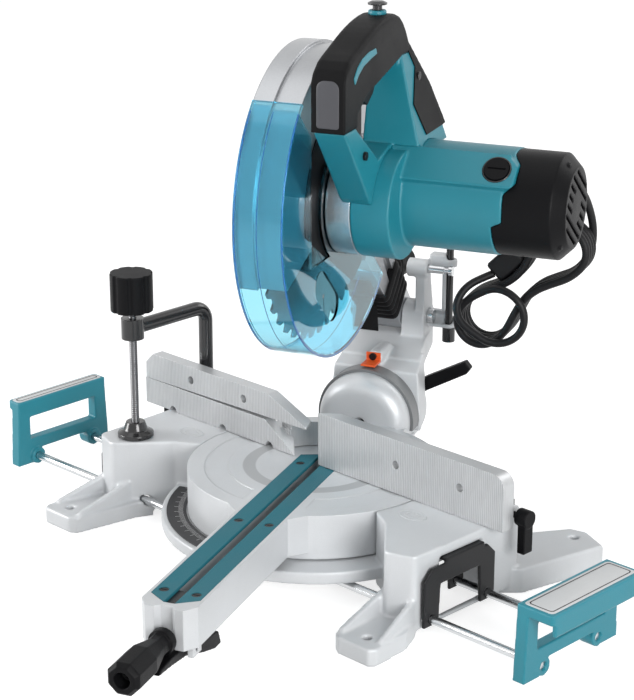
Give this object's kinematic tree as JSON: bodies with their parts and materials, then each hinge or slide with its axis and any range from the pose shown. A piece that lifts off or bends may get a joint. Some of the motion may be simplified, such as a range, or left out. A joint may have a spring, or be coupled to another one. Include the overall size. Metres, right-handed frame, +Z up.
{
  "type": "compound mitre saw",
  "caption": "Compound mitre saw with turning table, tilting arm, sprung saw head, clear guard, fence, work vise and sliding work holders.",
  "frame": {"origin": "on the bench under the turntable axis, in the plane of the fence face", "axes": "+X along the fence to the operator's right, +Y to the back, +Z up"},
  "size_m": [0.701, 0.6363, 0.5136],
  "materials": {
    "base_silver": "satin silver paint on a die casting",
    "black_plastic": "moulded, fine grain",
    "black_steel": "black finish",
    "blade_case_steel": "turned and brushed casting",
    "blade_steel": "ground steel",
    "copper_iron": "laminations with lacquered windings",
    "cord_black": "rubber sheathed lead",
    "fan_white": "moulded fan",
    "fence_aluminium": "machined die casting",
    "gear_aluminium": "bare machined casting",
    "grip_rubber": "soft over-moulding",
    "guard_blue": "clear tinted polycarbonate",
    "holder_teal": "painted casting with a bare ground top",
    "housing_teal": "moulded glass-filled nylon",
    "kerf_plastic": "moulded board, fine grain",
    "pointer_orange": "moulded pointer",
    "scale_grey": "dull band",
    "zinc_steel": "bright plated"
  },
  "bodies": {
    "base": {"base_casting": "base_silver", "fence_casting": "fence_aluminium", "fence_bolts": "black_steel", "mitre_scale": "black_plastic", "rod_brackets": "black_steel"},
    "turntable": {"turntable_casting": "base_silver", "kerf_board_left": "kerf_plastic", "kerf_board_right": "kerf_plastic", "kerf_screws": "zinc_steel", "pivot_bolt": "zinc_steel", "bevel_scale": "scale_grey", "bevel_axle": "zinc_steel"},
    "grip": {"front_grip": "black_plastic", "grip_stem": "zinc_steel"},
    "detent": {"detent_lever": "black_plastic"},
    "bevel_clamp": {"bevel_lever": "black_plastic"},
    "bevel_arm": {"bevel_arm_casting": "base_silver", "bevel_pointer": "pointer_orange", "pointer_screw": "zinc_steel", "hinge_pin": "zinc_steel", "blade_wrench": "black_steel"},
    "lock_pin": {"stop_pin": "zinc_steel"},
    "head": {"blade_case": "blade_case_steel", "cover_plate": "black_plastic", "gear_housing": "gear_aluminium", "bearings": "zinc_steel", "motor_housing": "housing_teal", "brush_caps": "black_plastic", "rear_cover": "black_plastic", "field_core": "black_steel", "handle_frame": "housing_teal", "handle_grip": "grip_rubber", "housing_screws": "zinc_steel", "dust_duct": "grip_rubber", "dust_flap": "grip_rubber", "cord_gland": "grip_rubber", "cord_lead": "cord_black", "cord_coil": "cord_black", "plug": "cord_black"},
    "switch_trigger": {"trigger": "black_plastic"},
    "switch_button": {"lock_button": "black_plastic"},
    "arbor": {"arbor_shaft": "zinc_steel", "drive_gear": "zinc_steel", "blade_flanges": "blade_steel", "arbor_bolt": "black_steel", "saw_blade": "blade_steel"},
    "rotor": {"armature": "copper_iron", "motor_fan": "fan_white"},
    "guard": {"lower_guard": "guard_blue"},
    "upper_fence": {"sub_fence": "fence_aluminium"},
    "clamp_right": {"clamp_screw_right": "black_plastic"},
    "clamp_left": {"clamp_screw_left": "black_plastic"},
    "vise": {"vise_arm": "black_steel"},
    "vise_foot": {"vise_pad": "black_steel"},
    "vise_screw": {"vise_spindle": "zinc_steel", "vise_knob": "black_plastic"},
    "holder_right": {"right_holder": "holder_teal", "right_rods": "zinc_steel"},
    "holder_left": {"left_holder": "holder_teal", "left_rods": "zinc_steel"}
  },
  "joints": [
    {"name": "mitre_turn", "type": "hinge", "parent": "base", "child": "turntable", "pos_m": [0, 0, 0.076], "axis": [0, 0, 1], "range_deg": [-67.5, 22.5]},
    {"name": "grip_turn", "type": "hinge", "parent": "turntable", "child": "grip", "pos_m": [0.13891, -0.33537, 0.048], "axis": [-0.3827, 0.9239, 0], "range_deg": [-180, 180]},
    {"name": "detent_press", "type": "hinge", "parent": "turntable", "child": "detent", "pos_m": [0.11481, -0.27716, 0.031], "axis": [0.9239, 0.3827, 0], "range_deg": [0, 6], "stiffness_Nm_per_rad": 1.5, "springref_deg": -5.73},
    {"name": "bevel_tilt", "type": "hinge", "parent": "turntable", "child": "bevel_arm", "pos_m": [-0.0574, 0.13858, 0.076], "axis": [-0.3827, 0.9239, 0], "range_deg": [-38, 0]},
    {"name": "bevel_lever_turn", "type": "hinge", "parent": "turntable", "child": "bevel_clamp", "pos_m": [-0.07347, 0.17738, 0.076], "axis": [-0.3827, 0.9239, 0], "range_deg": [0, 40]},
    {"name": "stop_pin_slide", "type": "slide", "parent": "bevel_arm", "child": "lock_pin", "axis": [0.9239, 0.3827, 0], "range_m": [-0.008, 0]},
    {"name": "head_chop", "type": "hinge", "parent": "bevel_arm", "child": "head", "pos_m": [-0.08725, 0.21064, 0.157], "axis": [0.9239, 0.3827, 0], "range_deg": [0, 32], "stiffness_Nm_per_rad": 22, "springref_deg": -74.48, "deforming": ["dust_flap"]},
    {"name": "guard_swing", "type": "hinge", "parent": "head", "child": "guard", "pos_m": [-0.00115, 0.00277, 0.335], "axis": [0.9239, 0.3827, 0], "range_deg": [-124, 0]},
    {"name": "arbor_spin", "type": "hinge", "parent": "head", "child": "arbor", "pos_m": [-0.00115, 0.00277, 0.335], "axis": [0.9239, 0.3827, 0], "continuous": true},
    {"name": "armature_spin", "type": "hinge", "parent": "head", "child": "rotor", "pos_m": [-0.0115, 0.02775, 0.34], "axis": [0.9239, 0.3827, 0], "continuous": true},
    {"name": "trigger_pull", "type": "hinge", "parent": "head", "child": "switch_trigger", "pos_m": [0.02143, -0.05174, 0.4484], "axis": [0.9239, 0.3827, 0], "range_deg": [0, 6], "stiffness_Nm_per_rad": 0.4, "springref_deg": -17.19},
    {"name": "lock_press", "type": "slide", "parent": "head", "child": "switch_button", "axis": [0, 0, 1], "range_m": [-0.003, 0], "stiffness_N_per_m": 300, "springref_m": 0.003},
    {"name": "sub_fence_slide", "type": "slide", "parent": "base", "child": "upper_fence", "axis": [-1, 0, 0], "range_m": [0, 0.06]},
    {"name": "clamp_right_turn", "type": "hinge", "parent": "base", "child": "clamp_right", "pos_m": [0.23, 0.025, 0.084], "axis": [1, 0, 0], "range_deg": [-180, 180]},
    {"name": "clamp_left_turn", "type": "hinge", "parent": "base", "child": "clamp_left", "pos_m": [-0.23, 0.025, 0.084], "axis": [1, 0, 0], "range_deg": [0, 180]},
    {"name": "vise_swing", "type": "hinge", "parent": "base", "child": "vise", "pos_m": [-0.176, 0.025, 0.085], "axis": [0, 0, 1], "range_deg": [-60, 30]},
    {"name": "vise_pad_slide", "type": "slide", "parent": "vise", "child": "vise_foot", "axis": [0, 0, 1], "range_m": [0, 0.0205]},
    {"name": "vise_screw_turn", "type": "hinge", "parent": "vise_foot", "child": "vise_screw", "pos_m": [-0.176, -0.069, 0.2], "axis": [0, 0, 1], "range_deg": [0, 3600]},
    {"name": "holder_right_slide", "type": "slide", "parent": "base", "child": "holder_right", "axis": [1, 0, 0], "range_m": [0, 0.08]},
    {"name": "holder_left_slide", "type": "slide", "parent": "base", "child": "holder_left", "axis": [-1, 0, 0], "range_m": [0, 0.08]}
  ],
  "couplings": [
    {"joint": "guard_swing", "follows": "head_chop", "ratio": -3.8},
    {"joint": "armature_spin", "follows": "arbor_spin", "ratio": -3.8889},
    {"joint": "vise_pad_slide", "follows": "vise_screw_turn", "m_per_rad": 0.00031831}
  ]
}
